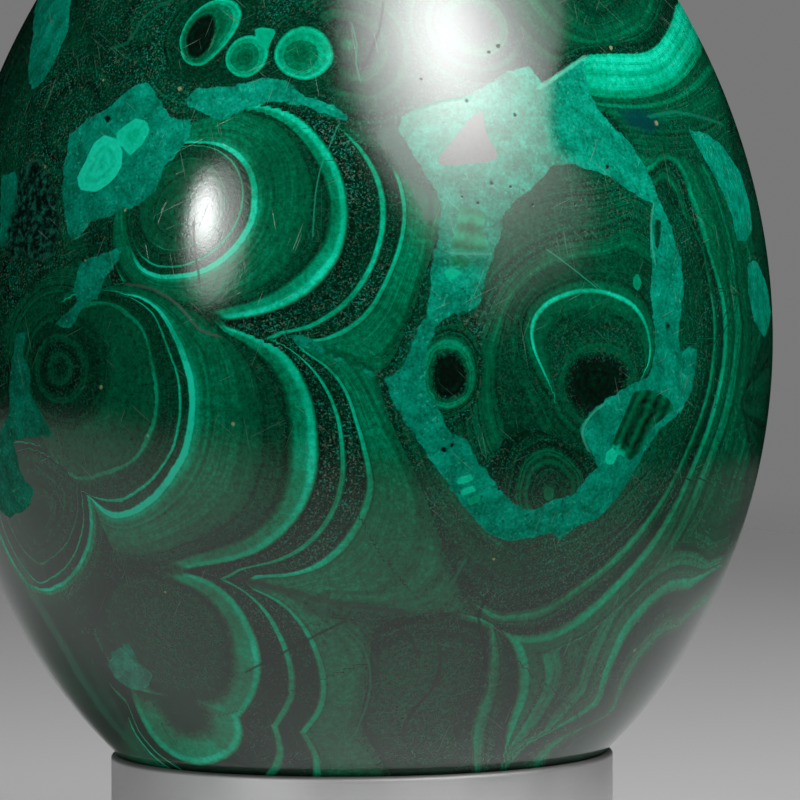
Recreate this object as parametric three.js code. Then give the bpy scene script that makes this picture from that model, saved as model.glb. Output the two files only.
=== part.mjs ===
// A polished malachite egg standing upright in a low metal ring.
// Millimetres, +Z up. The origin is the middle of the ring's foot, where it meets the table.
import * as THREE from "three";

// The stone
const EGG_HEIGHT = 66;
const EGG_WIDTH = 50;
const EGG_LEAN = -0.05; // how much narrower the upper half is than the lower half
const EGG_FULLNESS = -0.08; // below zero, both ends are slimmer than those of an ellipse

// The ring
const RING_HEIGHT = 12;
const RING_RADIUS = 15.2; // outer wall
const BORE_RADIUS = 12.4;
const RIM_ROUNDING = 0.3; // outer edge of the seat
const FOOT_CHAMFER = 0.5; // inner and outer edges of the foot
const RIM_TOUCH_RADIUS = 14.9; // where the stone meets the top of the ring
const SEAT_CLEARANCE = 0.12; // between the stone and the hollowed seat below it

// How finely the round forms are divided
const TURN_STEPS = 80;
const EGG_STEPS = 48;
const SEAT_STEPS = 5;
const ROUNDING_STEPS = 3;
const SEARCH_STEPS = 40; // halvings when a height on the stone is looked up

// Half width of the egg at an angle from its top (0) to its bottom (PI), before it is scaled to EGG_WIDTH.
function eggShape(angle) {
  const c = Math.cos(angle);
  return Math.sin(angle) * (1 + EGG_LEAN * c + EGG_FULLNESS * c * c);
}

// The scale that makes the widest level EGG_WIDTH across.
function eggScale() {
  let widest = 0;
  const samples = 2000;
  for (let i = 0; i <= samples; i++) {
    widest = Math.max(widest, eggShape((Math.PI * i) / samples));
  }
  return EGG_WIDTH / 2 / widest;
}

const EGG_SCALE = eggScale();

// Height of the stone's surface above its own middle, on the lower half, at a given radius.
function lowerHeightAt(radius) {
  let low = Math.PI;
  let high = Math.PI / 2;
  for (let i = 0; i < SEARCH_STEPS; i++) {
    const middle = (low + high) / 2;
    if (eggShape(middle) * EGG_SCALE < radius) low = middle;
    else high = middle;
  }
  return (EGG_HEIGHT / 2) * Math.cos(low);
}

const EGG_MIDDLE = RING_HEIGHT - lowerHeightAt(RIM_TOUCH_RADIUS);

// Profiles are lists of points (radius, height); turned about the height axis, they run upwards on the outside.
function eggProfile() {
  const points = [];
  for (let i = 0; i <= EGG_STEPS; i++) {
    const angle = Math.PI * (1 - i / EGG_STEPS);
    const onAxis = i === 0 || i === EGG_STEPS;
    const radius = onAxis ? 0 : eggShape(angle) * EGG_SCALE;
    points.push(new THREE.Vector2(radius, EGG_MIDDLE + (EGG_HEIGHT / 2) * Math.cos(angle)));
  }
  return points;
}

function ringProfile() {
  const points = [];
  const add = (radius, height) => points.push(new THREE.Vector2(radius, height));
  add(BORE_RADIUS + FOOT_CHAMFER, 0);
  add(RING_RADIUS - FOOT_CHAMFER, 0);
  add(RING_RADIUS, FOOT_CHAMFER);
  // The outer edge of the rim, rounded in a quarter circle.
  for (let i = 0; i <= ROUNDING_STEPS; i++) {
    const turn = ((Math.PI / 2) * i) / ROUNDING_STEPS;
    add(
      RING_RADIUS - RIM_ROUNDING * (1 - Math.cos(turn)),
      RING_HEIGHT - SEAT_CLEARANCE - RIM_ROUNDING * (1 - Math.sin(turn)),
    );
  }
  // The seat, hollowed to the stone's own curve.
  for (let i = 1; i <= SEAT_STEPS; i++) {
    const radius = RIM_TOUCH_RADIUS + ((BORE_RADIUS - RIM_TOUCH_RADIUS) * i) / SEAT_STEPS;
    add(radius, EGG_MIDDLE + lowerHeightAt(radius) - SEAT_CLEARANCE);
  }
  add(BORE_RADIUS, FOOT_CHAMFER);
  points.push(points[0].clone());
  return points;
}

// Turns a profile about +Z.
function turned(profile) {
  const geometry = new THREE.LatheGeometry(profile, TURN_STEPS);
  geometry.rotateX(Math.PI / 2);
  return geometry;
}

function makeEgg() {
  const stone = new THREE.MeshStandardMaterial({ color: 0x0b5a3c, roughness: 0.08, metalness: 0 });
  const egg = new THREE.Mesh(turned(eggProfile()), stone);
  egg.name = "egg";
  return egg;
}

function makeRing() {
  const metal = new THREE.MeshStandardMaterial({ color: 0xb4b5b7, roughness: 0.25, metalness: 1 });
  const ring = new THREE.Mesh(turned(ringProfile()), metal);
  ring.name = "ring_stand";
  return ring;
}

const eggOnRing = new THREE.Group();
eggOnRing.add(makeEgg(), makeRing());

export default eggOnRing;
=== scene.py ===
"""A polished malachite egg standing in a low metal ring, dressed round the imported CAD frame."""

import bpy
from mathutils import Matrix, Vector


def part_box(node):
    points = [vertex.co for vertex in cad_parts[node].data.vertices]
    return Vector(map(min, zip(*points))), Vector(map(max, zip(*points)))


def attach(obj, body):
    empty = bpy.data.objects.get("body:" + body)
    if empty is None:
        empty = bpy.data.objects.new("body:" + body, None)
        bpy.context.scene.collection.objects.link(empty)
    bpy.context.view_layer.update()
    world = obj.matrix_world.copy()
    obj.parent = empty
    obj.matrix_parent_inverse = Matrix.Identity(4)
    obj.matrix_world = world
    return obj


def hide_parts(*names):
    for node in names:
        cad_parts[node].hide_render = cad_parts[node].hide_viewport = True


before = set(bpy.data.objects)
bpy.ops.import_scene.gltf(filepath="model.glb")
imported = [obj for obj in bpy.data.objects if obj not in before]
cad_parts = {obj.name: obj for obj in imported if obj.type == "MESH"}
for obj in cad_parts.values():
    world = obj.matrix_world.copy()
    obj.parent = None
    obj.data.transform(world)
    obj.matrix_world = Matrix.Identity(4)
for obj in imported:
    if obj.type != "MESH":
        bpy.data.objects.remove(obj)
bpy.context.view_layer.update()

import math

import bmesh
import bpy
import numpy as np
from mathutils import Matrix, Vector

bl_info = {
    "name": "Malachite Egg",
    "version": (1, 0, 0),
    "blender": (4, 5, 0),
    "location": "3D View > Sidebar > Egg",
    "description": "Makes a banded malachite egg, its ring stand and a studio round them",
    "category": "Add Mesh",
}

MM = 0.001
EGG_LOW, EGG_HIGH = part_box("egg")
RING_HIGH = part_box("ring_stand")[1]

# The photo's frame, in pixels, and the camera that sees the object as the photo does.
PHOTO_SIDE = 800
EYE = Vector((0.0, -0.320, 0.0448))
AIM = Vector((0.00247, 0.0, 0.03312))
ROLL = math.radians(-0.44)
SENSOR = 36.0
LENS = 238.1

# Keeps a divisor from being zero.
TINY = 1e-9


def camera_turn():
    """The camera's rotation: from the eye to the aim, then rolled about the line of sight."""
    return (AIM - EYE).to_track_quat("-Z", "Y").to_matrix() @ Matrix.Rotation(ROLL, 3, "Z")


class Egg:
    """The egg's shape in millimetres: a solid of revolution about Z, worked out from the CAD box."""

    taper = -0.05
    fullness = -0.08

    def __init__(self):
        self.half_height = (EGG_HIGH[2] - EGG_LOW[2]) / 2 / MM
        self.half_width = (EGG_HIGH[0] - EGG_LOW[0]) / 2 / MM
        self.middle = (EGG_HIGH[2] + EGG_LOW[2]) / 2 / MM
        levels = np.linspace(-1, 1, 4001)
        self.scale = self.half_width / (np.sqrt(1 - levels**2) * self.swell(levels)).max()

    def swell(self, level):
        """How much wider than an ellipse the egg is at a level, which is 1 at the top and -1 at the foot."""
        return 1 + self.taper * level + self.fullness * level**2

    def radius(self, level):
        level = np.clip(level, -1, 1)
        return self.scale * np.sqrt(1 - level**2) * self.swell(level)

    def level(self, points):
        return (points[:, 2] - self.middle) / self.half_height

    def place(self, level, turn):
        """The point of the surface at a level, at an angle round the axis."""
        radius = self.radius(level)
        return radius * math.cos(turn), radius * math.sin(turn), self.middle + self.half_height * level

    def seen(self, pixels):
        """Points of the surface, in millimetres, that lie under pixels of the photo."""
        pixels = np.asarray(pixels, float)
        focal = PHOTO_SIDE * LENS / SENSOR
        flat = (pixels - PHOTO_SIDE / 2) * (1, -1) / focal
        rays = np.column_stack((flat, -np.ones(len(pixels))))
        rays = rays @ np.array(camera_turn()).T
        rays /= np.linalg.norm(rays, axis=1)[:, None]
        eye = np.array(EYE) / MM
        near = np.full(len(rays), -2 * self.half_height - eye[1])
        far = -(rays[:, :2] @ eye[:2]) / (rays[:, :2] ** 2).sum(1)
        for _ in range(50):
            middle = (near + far) / 2
            points = eye + rays * middle[:, None]
            outside = np.hypot(points[:, 0], points[:, 1]) > self.radius(self.level(points))
            near = np.where(outside, middle, near)
            far = np.where(outside, far, middle)
        return eye + rays * far[:, None]

    def chart(self, points):
        """A flat map of the surface in millimetres, true to size at the front and open to the back."""
        level = np.clip(self.level(points), -1, 1)
        across = np.hypot(points[:, 0], points[:, 1]) + TINY
        flat = np.sqrt(1 - level**2)
        x = points[:, 0] / across * flat
        y = points[:, 1] / across * flat
        turn = np.arccos(np.clip(-y, -1, 1))
        stretch = turn / (np.hypot(x, level) + TINY)
        return np.column_stack((x * stretch * self.half_width, level * stretch * self.half_height))


EGG = Egg()

# The kinds of banding. Each growth of the stone has one, and the shader paints each in its own way.
BANDED, FLOWING, LAYERED, RINGED, DARK, ISLAND, PITTED, ARCHED, EDGED, EYED = range(10)
# A stored growth is its kind times the stride, plus its step, which stays below the stride.
KIND_STRIDE = 20.0
LAST_STEP = KIND_STRIDE - 0.5
EMPTY_STEP = KIND_STRIDE - 0.2
GROWTH_LAYERS = 7
# The least distance between two lines of a growth, and how near its start its heading fades, in mm.
LEAST_GAP = 0.02
SOFT_START = 0.15
# Steps that keep a growth out of a place, and what is stored where nothing is near.
KEPT_OUT = 30.0
FAR = 9.0
# The height in mm that the photo's pattern reaches.
PHOTO_TOP = 63.5
PIXELS_PER_MM = 16.54
# A little more than a full turn, in radians.
OVER_A_TURN = 6.3


def smooth_line(pixels, gap=11.0):
    """A smooth curve through traced points, as points that lie about a gap apart."""
    knots = np.asarray(pixels, float)
    ends = np.vstack((2 * knots[0] - knots[1], knots, 2 * knots[-1] - knots[-2]))
    curve = [knots[0]]
    for before, a, b, after in zip(ends[:-3], ends[1:-2], ends[2:-1], ends[3:]):
        count = max(1, round(np.linalg.norm(b - a) / gap))
        for t in np.arange(1, count + 1) / count:
            bend = (2 * before - 5 * a + 4 * b - after) * t**2 + (3 * a - before - 3 * b + after) * t**3
            curve.append(a + ((b - before) * t + bend) / 2)
    return np.array(curve)


class Growth:
    """Stone that grew outwards from one place, in steps. Its lines are where each step stopped."""

    def __init__(self, kind, start, step, lines=(), first=0.0, home="outside", family=None, lobes=()):
        self.kind = kind
        self.step = step
        self.first = first
        self.home = home
        self.family = family or self
        self.lobes = lobes
        self.start = np.asarray(start, float) if len(start) == 3 else EGG.seen([start])[0]
        out = self.start - np.array((0, 0, EGG.middle))
        out /= np.linalg.norm(out)
        self.side = np.cross((0, 0, 1), out)
        self.side /= np.linalg.norm(self.side)
        self.up = np.cross(out, self.side)
        self.lines = {}
        for value, line in lines:
            turn, reach = self.polar(EGG.seen(smooth_line(line)))
            if value in self.lines:
                turn, reach = np.append(self.lines[value][0], turn), np.append(self.lines[value][1], reach)
            self.lines[value] = (turn, reach)

    def flat(self, points):
        away = points - self.start
        return np.column_stack((away @ self.side, away @ self.up))

    def polar(self, points):
        """The direction of each point from the start, in radians, and its distance."""
        x, y = self.flat(points).T
        turn = np.arctan2(y, x)
        swell = 1 + sum(amount * np.cos(count * turn + phase) for count, amount, phase in self.lobes)
        return turn, np.linalg.norm(points - self.start, axis=1) / swell

    def steps_at(self, points):
        """The growth step at which each point was laid down: steps run smoothly from line to line."""
        turn, reach = self.polar(points)
        stops = [np.zeros(len(points))]
        values = [self.first]
        for value, (line_turn, line_reach) in sorted(self.lines.items()):
            line = np.interp(turn, line_turn, line_reach, period=2 * math.pi)
            stops.append(np.maximum(line, stops[-1] + LEAST_GAP))
            values.append(value)
        stops.append(stops[-1] + self.step)
        values.append(values[-1] + 1)
        widths = [far - near for near, far in zip(stops, stops[1:])]
        slopes = [(high - low) / width for low, high, width in zip(values, values[1:], widths)]
        bends = [slopes[0], *(2 * a * b / (a + b) for a, b in zip(slopes, slopes[1:])), slopes[-1]]
        steps = values[-1] + (reach - stops[-1]) * bends[-1]
        for i in reversed(range(len(widths))):
            t = (reach - stops[i]) / widths[i]
            start, end = bends[i] * widths[i], bends[i + 1] * widths[i]
            rise = values[i + 1] - values[i]
            square = (3 * rise - 2 * start - end) * t**2
            cube = (start + end - 2 * rise) * t**3
            steps = np.where(reach < stops[i + 1], values[i] + start * t + square + cube, steps)
        return steps

    def heading(self, points):
        """Cosine and sine of the direction from the start to each point, along the surface."""
        flat = self.flat(points)
        return flat / (np.linalg.norm(flat, axis=1)[:, None] + SOFT_START)


def closing_lines(start, end, out=(-1.0, 0.0)):
    """Short pieces of a growth's outer lines, side by side, where they all run together."""
    lines = []
    for value, gap in ((1.5, 0), (1.85, 0.8), (2, 1.2), (3, 2), (4, 2.8), (5, 3.6)):
        lines.append((value, [(x + out[0] * gap, y + out[1] * gap) for x, y in (start, end)]))
    return lines


def left_growths():
    """The growths in the left half of the photo, traced on it: (step, points in pixels)."""
    upper_left = Growth(
        BANDED, (185, 212), 3.4,
        (
            (0.93, (
                (217, 150), (232, 162), (241, 182), (242, 203), (234, 226), (220, 244), (200, 258),
                (178, 266), (155, 265), (141, 255),
            )),
            (1, (
                (200, 143), (217, 145), (236, 155), (249, 175), (253, 200), (248, 224), (234, 247),
                (213, 264), (188, 274), (160, 276), (140, 267), (131, 248),
            )),
            (1.5, (
                (245, 112), (272, 124), (293, 148), (303, 178), (303, 208), (294, 238), (275, 266),
                (246, 288), (212, 300),
            )),
            (1.85, (
                (262, 112), (285, 122), (303, 138), (317, 157), (328, 178), (334, 202), (334, 228),
                (325, 252), (308, 273), (284, 291), (255, 303), (225, 310),
            )),
            (2, (
                (262, 103), (290, 111), (312, 127), (328, 147), (340, 170), (347, 195), (348, 225),
                (340, 255), (325, 279), (302, 299), (272, 312), (240, 319), (212, 322),
            )),
            (3, (
                (300, 109), (333, 122), (355, 143), (371, 166), (380, 188), (383, 212), (380, 240),
                (368, 272), (350, 298), (330, 315), (305, 328), (282, 332),
            )),
            (4, (
                (335, 120), (365, 137), (385, 153), (398, 175), (405, 205), (404, 230), (398, 255),
                (388, 280), (373, 308), (352, 328), (325, 340), (300, 341),
            )),
            (5, (
                (372, 125), (415, 160), (439, 195), (437, 240), (427, 290), (410, 340), (385, 368),
                (350, 358),
            )),
            # Under the filling at the left and at the top, where the lines run together.
            *closing_lines((114, 215), (114, 190)),
            *closing_lines((160, 128), (205, 119), (0.0, -1.0)),
        ),
    )
    middle_left = Growth(
        BANDED, (100, 395), 5.0,
        (
            (0.7, (
                (120, 308), (138, 325), (149, 352), (154, 385), (153, 418), (145, 443), (126, 462),
                (95, 476), (75, 478),
            )),
            (0.93, (
                (140, 303), (153, 314), (161, 332), (168, 350), (176, 370), (179, 395), (178, 420),
                (173, 445), (163, 465), (146, 484), (125, 498), (108, 500),
            )),
            (1, (
                (113, 293), (138, 297), (158, 310), (172, 332), (183, 358), (189, 385), (189, 415),
                (184, 445), (172, 472), (152, 497), (130, 511), (112, 514), (98, 505), (88, 493),
            )),
            (1.5, (
                (200, 320), (226, 342), (243, 375), (249, 415), (247, 455), (234, 494), (208, 522),
                (172, 540), (140, 550),
            )),
            (1.85, (
                (225, 332), (245, 341), (264, 354), (281, 372), (292, 396), (297, 422), (298, 460),
                (296, 482), (288, 503), (275, 522), (255, 538), (230, 549), (195, 558),
            )),
            (2, (
                (228, 326), (262, 338), (286, 352), (303, 375), (313, 400), (317, 425), (319, 460),
                (316, 482), (308, 503), (296, 522), (278, 541), (258, 553), (232, 562), (195, 568),
            )),
            (3, (
                (262, 337), (290, 350), (312, 369), (328, 393), (338, 420), (342, 450), (342, 478),
                (335, 505), (322, 528), (303, 547), (278, 560), (240, 569),
            )),
            (4, (
                (305, 352), (330, 369), (347, 392), (357, 420), (366, 450), (372, 480), (370, 500),
                (360, 524), (344, 547), (320, 566), (292, 575), (258, 577),
            )),
            (5, ((372, 382), (392, 420), (425, 478), (440, 530), (430, 575), (395, 600), (340, 598))),
            *closing_lines((95, 290), (108, 288), (-0.3, -1.0)),
        ),
        first=0.62, family="left",
    )
    far_left = Growth(
        EDGED, (38, 522), 3.0,
        (
            (0.7, ((77, 482), (77, 515), (64, 545), (40, 563))),
            (0.93, ((80, 492), (83, 520), (76, 548), (60, 570), (38, 582))),
            (1, ((88, 494), (91, 525), (85, 553), (68, 578), (45, 589), (28, 584))),
        ),
        first=0.1, family="left",
    )
    lower_left = Growth(
        BANDED, (165, 632), 4.0,
        (
            (1.7, ((165, 588), (190, 598), (207, 620), (209, 648), (195, 672), (160, 676), (130, 655))),
            (1.85, (
                (178, 577), (200, 587), (219, 603), (235, 627), (243, 650), (245, 672), (241, 692),
                (231, 706), (222, 712),
            )),
            (2, (
                (185, 571), (214, 582), (235, 600), (250, 622), (259, 645), (262, 668), (259, 688),
                (250, 706), (241, 718),
            )),
            (3, (
                (222, 580), (245, 592), (266, 613), (281, 640), (290, 668), (291, 695), (283, 712),
                (274, 726),
            )),
            (4, ((252, 588), (282, 603), (304, 626), (319, 655), (325, 685), (321, 710), (304, 733))),
            (5, ((310, 602), (345, 630), (368, 672), (363, 720), (340, 755))),
        ),
        first=1.66, family="foot",
    )
    foot_left = Growth(
        BANDED, (186, 712), 3.4,
        (
            (1.85, ((222, 712), (225, 728), (219, 741), (203, 747), (182, 744), (163, 731), (150, 712))),
            (2, (
                (241, 718), (244, 735), (237, 751), (222, 761), (200, 766), (178, 760), (158, 746),
                (143, 725), (132, 700),
            )),
            (3, ((274, 726), (280, 750), (276, 765), (262, 785))),
            (3, ((128, 705), (140, 733), (156, 752))),
            (4, ((304, 733), (317, 755), (319, 778))),
            (4, ((124, 706), (136, 735), (152, 755))),
        ),
        first=1.72, family="foot",
    )
    eye_left = Growth(
        EYED, (60, 368), 1.2,
        (
            (0.42, ((60, 338), (77, 348), (84, 368), (78, 390), (60, 400), (42, 388), (38, 360), (46, 343))),
            (0.62, ((78, 322), (98, 340), (105, 370), (98, 402), (76, 422), (48, 418))),
        ),
    )
    ringed = (
        (
            (201, 36), 1.2, 0.0, 0.42,
            (
                (181, 48), (182, 33), (190, 18), (203, 6), (220, -1), (236, 3), (241, 14), (237, 27),
                (227, 42), (214, 56), (202, 65), (190, 64),
            ),
            (
                (186, 47), (187, 34), (194, 22), (205, 13), (213, 14), (216, 24), (213, 38), (206, 52),
                (198, 59), (189, 58),
            ),
        ),
        (
            (246, 57), 1.0, 0.45, 0.8,
            (
                (226, 60), (231, 46), (243, 37), (257, 37), (267, 48), (266, 60), (258, 71), (246, 77),
                (233, 73),
            ),
            ((230, 59), (235, 49), (243, 43), (253, 44), (259, 54), (257, 64), (247, 71), (236, 69)),
        ),
        (
            (302, 55), 1.1, 0.5, 0.8,
            (
                (275, 55), (280, 41), (291, 31), (305, 27), (320, 32), (331, 46), (332, 60), (323, 72),
                (309, 79), (291, 76), (279, 67),
            ),
            (
                (283, 55), (287, 46), (295, 41), (305, 40), (315, 45), (319, 56), (314, 66), (304, 71),
                (292, 69), (285, 63),
            ),
        ),
    )
    eyes = [
        Growth(RINGED, start, step, ((1, outside), (core, inside)), first=first)
        for start, step, first, core, outside, inside in ringed
    ]
    dark = (((150, 20), 4.0), ((70, 120), 5.0), ((22, 270), 4.0))
    rims = [Growth(DARK, start, step, first=2.1) for start, step in dark]
    return [upper_left, middle_left, far_left, lower_left, foot_left, eye_left, *eyes, *rims]


def right_growths():
    """The growths in the right half of the photo, traced in the same way."""
    dome = Growth(
        LAYERED, (600, -30), 1.6,
        (
            (1, ((560, 30), (590, 42), (625, 32), (645, 15), (653, -8))),
            (2, (
                (540, 92), (551, 80), (563, 71), (577, 60), (590, 54), (610, 53), (640, 53), (652, 48),
                (663, 37), (671, 22), (675, 5), (678, -15),
            )),
            (3, ((575, 92), (605, 97), (630, 98), (652, 95), (673, 86), (690, 69), (701, 48), (707, 25))),
            (4, ((600, 108), (640, 111), (672, 106), (692, 97), (708, 84), (717, 66))),
            (5, ((620, 118), (665, 122), (700, 116), (722, 100))),
        ),
    )
    right_flow = Growth(
        FLOWING, (600, 370), 8.0,
        (
            (5, (
                (690, 225), (702, 290), (705, 350), (697, 400), (672, 465), (630, 520), (570, 570),
                (505, 588),
            )),
            (5.5, (
                (703, 250), (713, 310), (713, 355), (704, 405), (680, 465), (655, 510), (620, 553),
                (575, 590), (540, 611), (500, 617),
            )),
            (6, (
                (706, 245), (716, 275), (723, 305), (725, 335), (722, 372), (709, 425), (688, 478),
                (670, 515), (648, 550), (610, 592), (580, 618), (555, 633), (530, 639), (512, 637),
            )),
            (6.5, (
                (737, 330), (733, 370), (722, 420), (700, 480), (678, 530), (650, 575), (615, 612),
                (583, 638), (545, 655),
            )),
            (7.5, ((757, 330), (752, 395), (738, 450), (716, 520), (690, 558))),
        ),
        first=3.4, family="right",
    )
    foot_middle = Growth(
        FLOWING, (425, 705), 4.0,
        (
            (5.5, ((492, 625), (493, 660), (489, 690), (479, 716), (474, 742), (476, 775))),
            (6, ((513, 639), (521, 655), (524, 675), (521, 700), (512, 725), (507, 750), (504, 772))),
            (6.5, ((546, 657), (549, 675), (546, 690), (537, 707), (522, 730))),
        ),
        first=4.5, family="right",
    )
    lower_right = Growth(
        FLOWING, (635, 715), 3.6,
        (
            (6, (
                (690, 584), (670, 586), (655, 597), (640, 612), (625, 632), (615, 652), (606, 675),
                (596, 703), (575, 718), (550, 731), (525, 744), (505, 765),
            )),
            (6.5, (
                (706, 570), (690, 562), (672, 564), (655, 574), (635, 590), (615, 612), (602, 640),
                (592, 662), (584, 690),
            )),
        ),
        first=4.6, family="right",
    )
    right_arc = Growth(
        FLOWING, (668, 215), 2.6,
        (
            (5.5, ((657, 181), (664, 176), (672, 183), (679, 199), (684, 218), (688, 242))),
            (6, (
                (653, 168), (660, 160), (669, 157), (678, 164), (686, 179), (690, 196), (698, 216),
                (706, 245),
            )),
            (6.5, ((650, 150), (668, 144), (688, 151), (702, 172), (714, 200), (724, 232), (731, 265))),
        ),
        first=4.9, family="right",
    )
    upper_middle = Growth(
        DARK, (348, 45), 2.2,
        ((1.5, ((332, 10), (360, 15), (382, 32), (384, 62), (365, 80), (340, 72))),),
        first=0.95,
    )
    bright_top = Growth(DARK, (475, 25), 1.9)
    return [dome, right_flow, foot_middle, lower_right, right_arc, upper_middle, bright_top]


def island_growths():
    """The growths of the dark island that the filling surrounds."""
    return [
        Growth(
            ISLAND, (598, 380), 2.4,
            (
                (0.5, ((566, 378), (575, 361), (596, 355), (616, 359), (627, 374), (620, 394))),
                (0.75, ((557, 368), (563, 348), (582, 336), (606, 332), (629, 342), (640, 364))),
                (1, (
                    (556, 396), (547, 380), (536, 358), (530, 338), (532, 318), (545, 302), (566, 292),
                    (590, 288), (612, 292), (634, 303), (646, 321), (651, 342), (649, 364), (638, 380),
                )),
                (2, ((492, 330), (502, 302), (520, 277), (545, 259), (575, 250), (605, 246), (628, 236))),
            ),
            home="island",
        ),
        Growth(
            PITTED, (448, 378), 1.45,
            (
                (1, (
                    (427, 388), (426, 366), (433, 350), (447, 343), (462, 350), (471, 367), (471, 388),
                    (461, 401), (446, 406), (433, 400),
                )),
                (2, ((438, 328), (460, 325), (475, 340), (482, 366), (478, 391), (465, 408), (446, 416))),
            ),
            home="island",
        ),
        Growth(
            ARCHED, (549, 491), 1.9,
            (
                (1, ((520, 482), (526, 463), (545, 451), (565, 458), (580, 476))),
                (1.6, ((503, 472), (508, 446), (525, 430), (548, 427), (572, 438), (590, 456))),
                (2.3, ((490, 452), (495, 425), (510, 404), (530, 403), (555, 416), (580, 432), (594, 444))),
                (3, ((482, 425), (497, 398), (515, 381), (533, 393), (550, 408))),
            ),
            home="island",
        ),
    ]


# Outlines in the photo, in pixels. The blue-green filling runs round an island of dark stone.
FILLING_RING = (
    (383, 378), (395, 373), (405, 362), (415, 335), (425, 315), (431, 290), (431, 265), (437, 240),
    (441, 205), (437, 190), (425, 175), (412, 150), (398, 128), (403, 118), (430, 106), (460, 99),
    (480, 90), (505, 72), (530, 66), (543, 86), (563, 73), (583, 60), (587, 76), (590, 96), (605, 117),
    (635, 150), (652, 180), (664, 212), (674, 237), (681, 258), (684, 290), (679, 330), (680, 353),
    (690, 347), (697, 349), (694, 382), (682, 412), (658, 430), (643, 455), (636, 470), (620, 494),
    (598, 518), (570, 529), (561, 541), (552, 532), (535, 536), (510, 541), (490, 534), (470, 515),
    (450, 487), (440, 472), (430, 456), (408, 425), (390, 396),
)
ISLAND_OUTLINE = (
    (505, 212), (500, 235), (492, 258), (484, 280), (479, 302), (470, 312), (453, 314), (438, 326),
    (428, 345), (424, 375), (427, 396), (440, 412), (448, 430), (466, 440), (478, 460), (495, 483),
    (515, 505), (532, 510), (550, 501), (573, 494), (586, 478), (598, 468), (590, 450), (580, 430),
    (588, 412), (612, 396), (630, 386), (648, 377), (656, 352), (653, 315), (650, 290), (653, 268),
    (650, 240), (651, 215), (655, 203), (640, 198), (618, 181), (595, 170), (575, 165), (552, 165),
    (543, 177), (525, 195), (512, 203),
)
FILLING_PATCHES = (
    (
        (62, 200), (64, 165), (70, 135), (88, 119), (102, 112), (120, 98), (130, 88), (147, 81),
        (156, 95), (172, 118), (192, 119), (190, 135), (176, 155), (163, 168), (156, 190), (140, 203),
        (112, 214), (90, 221), (78, 240), (70, 240),
    ),
    (
        (184, 99), (198, 89), (230, 86), (262, 78), (288, 82), (302, 97), (330, 104), (350, 116), (345, 121),
        (300, 104), (270, 102), (240, 112), (222, 119), (205, 114), (190, 107),
    ),
    (
        (82, 262), (98, 256), (124, 246), (117, 263), (101, 284), (98, 298), (80, 312), (70, 328), (52, 326),
        (68, 312), (78, 300), (72, 290), (77, 272),
    ),
    (
        (28, 330), (22, 352), (30, 372), (30, 395), (42, 412), (54, 436), (30, 438), (12, 440), (24, 480),
        (36, 490), (28, 508), (8, 518), (-4, 505), (-4, 440), (8, 415), (12, 360), (16, 335),
    ),
    ((36, -10), (72, -10), (68, 30), (55, 62), (44, 82), (32, 90), (28, 70), (33, 35)),
    ((2, 175), (16, 172), (20, 200), (12, 235), (0, 250)),
    ((112, 650), (128, 641), (140, 664), (154, 675), (150, 686), (134, 690), (118, 682), (109, 666)),
    (
        (688, 129), (706, 133), (724, 148), (740, 172), (749, 200), (752, 228), (746, 243), (737, 240),
        (732, 215), (722, 190), (710, 168), (698, 148),
    ),
    ((748, 262), (757, 262), (768, 290), (771, 315), (764, 338), (754, 320), (748, 290)),
    (
        (290, 336), (312, 338), (328, 352), (345, 360), (383, 378), (372, 375), (340, 362), (318, 353),
        (298, 345),
    ),
)
# Where the polish is hazy and spreads the main light.
HAZE_OUTLINE = (
    (340, -12), (346, 40), (350, 80), (359, 98), (367, 116), (372, 138), (382, 156), (393, 176),
    (404, 192), (416, 212), (428, 230), (440, 250), (462, 262), (482, 262), (482, 318), (505, 325),
    (545, 292), (575, 275), (590, 245), (598, 215), (594, 190), (578, 165), (556, 150), (549, 120),
    (552, 88), (562, 40), (568, -12),
)
HOLLOW_OUTLINE = (
    (20, 168), (35, 160), (48, 172), (58, 200), (61, 230), (52, 256), (34, 264), (22, 252), (12, 262),
    (6, 240), (14, 205),
)
BLUE_SPOT = ((616, 110), (640, 108), (656, 114), (662, 122), (652, 134), (640, 131), (626, 122))
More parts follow.
